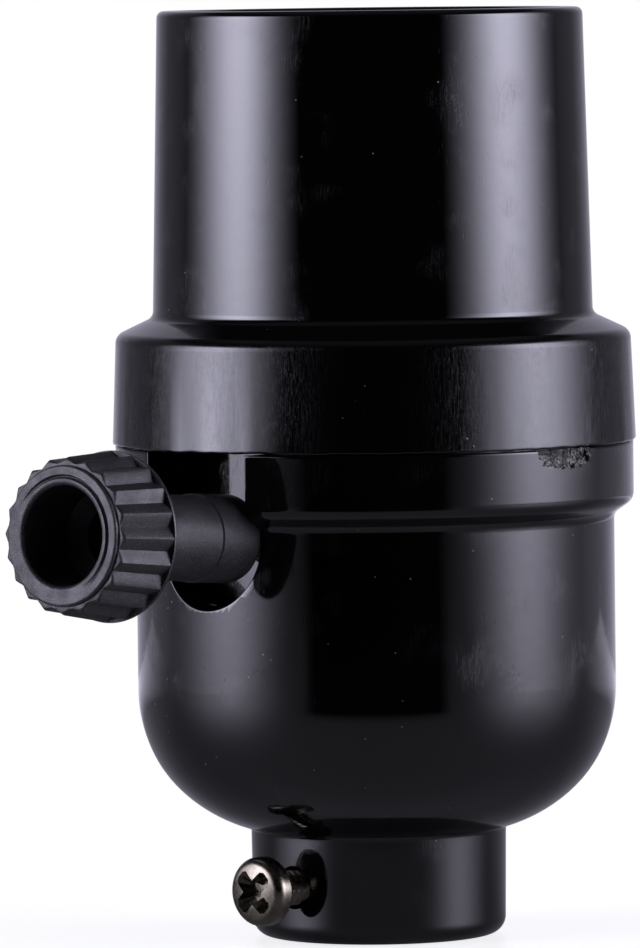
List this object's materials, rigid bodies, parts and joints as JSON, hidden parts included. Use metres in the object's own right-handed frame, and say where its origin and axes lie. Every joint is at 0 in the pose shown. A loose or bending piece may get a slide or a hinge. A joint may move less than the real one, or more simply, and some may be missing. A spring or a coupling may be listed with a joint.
{
  "type": "turn knob lamp socket",
  "caption": "Black moulded lamp socket for a medium screw base bulb, with a fluted turn knob on a side stem, a rotary switch inside, and a neck with a set screw for a threaded lamp pipe.",
  "frame": {"origin": "on the socket's axis at the mouth of its neck, where the lamp's threaded pipe enters", "axes": "+Z along the socket's axis from the neck to the bulb opening; -Y towards the side that the picture shows, with the turn knob at the front left"},
  "size_m": [0.0488, 0.0541, 0.0732],
  "materials": {
    "black_phenolic": "compression moulded and polished, with fine handling scratches",
    "knob_plastic": "moulded black plastic, satin, with light speckling",
    "dark_nickel": "nickel plated steel, darkened with handling",
    "zinc_plated_steel": "zinc plated",
    "zinc_casting": "die cast and tumbled",
    "brass": "stamped brass, slightly dulled",
    "nickel_plated_brass": "nickel plated, satin",
    "spring_bronze": "rolled spring bronze",
    "rolled_aluminium": "rolled thread in bright sheet",
    "red_fibre": "punched vulcanised fibre",
    "brown_moulding": "moulded, dull"
  },
  "bodies": {
    "socket": {"upper_shell": "black_phenolic", "lower_cap": "black_phenolic", "neck_bushing": "zinc_casting", "switch_body": "black_phenolic", "switch_cover": "red_fibre", "cover_screw_front": "zinc_plated_steel", "cover_screw_rear": "zinc_plated_steel", "hot_terminal": "brass", "neutral_terminal": "nickel_plated_brass", "contact_arm": "spring_bronze", "detent_spring": "zinc_plated_steel", "screw_shell": "rolled_aluminium", "shell_washer": "red_fibre", "shell_rivet_hot_side": "nickel_plated_brass", "shell_rivet_neutral_side": "nickel_plated_brass", "centre_rivet": "brass", "centre_contact": "brass"},
    "knob": {"turn_knob": "knob_plastic", "switch_shaft": "brass", "shaft_clip": "zinc_plated_steel", "switch_rotor": "brown_moulding"},
    "neck_screw": {"set_screw": "dark_nickel"},
    "hot_side_screw": {"hot_screw": "brass"},
    "neutral_side_screw": {"neutral_screw": "nickel_plated_brass"}
  },
  "joints": [
    {"name": "knob_turn", "type": "hinge", "parent": "socket", "child": "knob", "pos_m": [0, 0, 0.03114], "axis": [-0.6184, -0.783, 0.0671], "continuous": true},
    {"name": "set_screw_travel", "type": "slide", "parent": "socket", "child": "neck_screw", "axis": [-0.6691, -0.7431, 0], "range_m": [-0.0016, 0.002]},
    {"name": "hot_screw_travel", "type": "slide", "parent": "socket", "child": "hot_side_screw", "axis": [0.7848, -0.6198, 0], "range_m": [0, 0.0012]},
    {"name": "neutral_screw_travel", "type": "slide", "parent": "socket", "child": "neutral_side_screw", "axis": [-0.7848, 0.6198, 0], "range_m": [0, 0.0012]}
  ]
}
